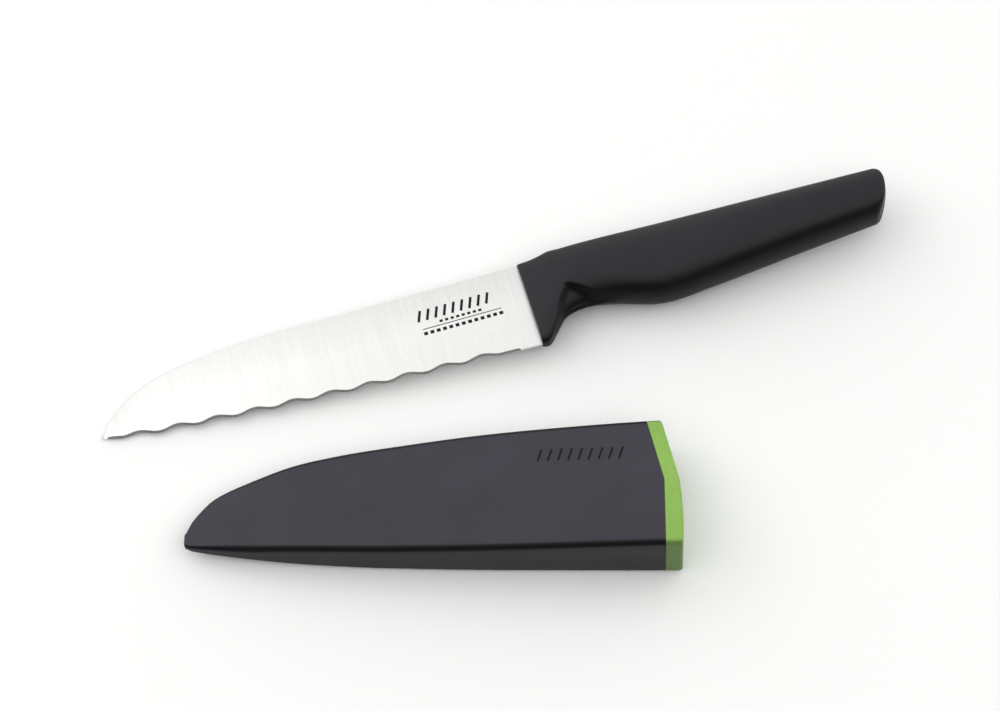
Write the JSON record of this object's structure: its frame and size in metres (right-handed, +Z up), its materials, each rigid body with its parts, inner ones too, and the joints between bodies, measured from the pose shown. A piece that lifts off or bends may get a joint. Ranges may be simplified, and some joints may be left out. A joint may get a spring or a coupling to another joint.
{
  "type": "bread knife with sharpening scabbard",
  "caption": "Wide-bladed bread knife with a scalloped steel edge and black moulded handle, lying beside its tapered black scabbard with a green mouth collar and a sprung sharpener inside.",
  "frame": {"origin": "on the surface that both pieces lie on, under the middle of the layout's box", "axes": "+Z up from the surface, +X along the scabbard's straight edge wall towards its mouth, +Y from the edge wall towards the scabbard's spine and the knife"},
  "size_m": [0.2586, 0.141, 0.0229],
  "materials": {
    "steel": "cross-brushed stainless steel",
    "spring_steel": "drawn spring steel",
    "grip": "fine spark-eroded satin",
    "core": "moulded, hidden",
    "shell": "fine spark-eroded satin",
    "collar": "moulded satin, light green",
    "rocker": "moulded",
    "ceramic": "ground ceramic"
  },
  "bodies": {
    "scabbard": {"upper_shell": "shell", "lower_shell": "shell", "mouth_collar": "collar", "pivot_pin": "spring_steel", "return_spring": "spring_steel"},
    "rocker": {"sharpener_rocker": "rocker", "sharpening_plate_upper": "ceramic", "sharpening_plate_lower": "ceramic"},
    "knife": {"blade": "steel", "handle_core": "core", "handle_grip": "grip"}
  },
  "joints": [
    {"name": "sharpener_tilt", "type": "hinge", "parent": "scabbard", "child": "rocker", "pos_m": [0.01879, -0.06534, 0.00993], "axis": [-0.0386, 0, 0.9993], "range_deg": [-6, 0], "stiffness_Nm_per_rad": 0.4, "springref_deg": 6.88, "deforming": ["return_spring"]},
    {"name": "knife_draw", "type": "slide", "parent": "scabbard", "child": "knife", "axis": [0.9605, 0.2782, 0], "range_m": [0, 0.1468]}
  ]
}
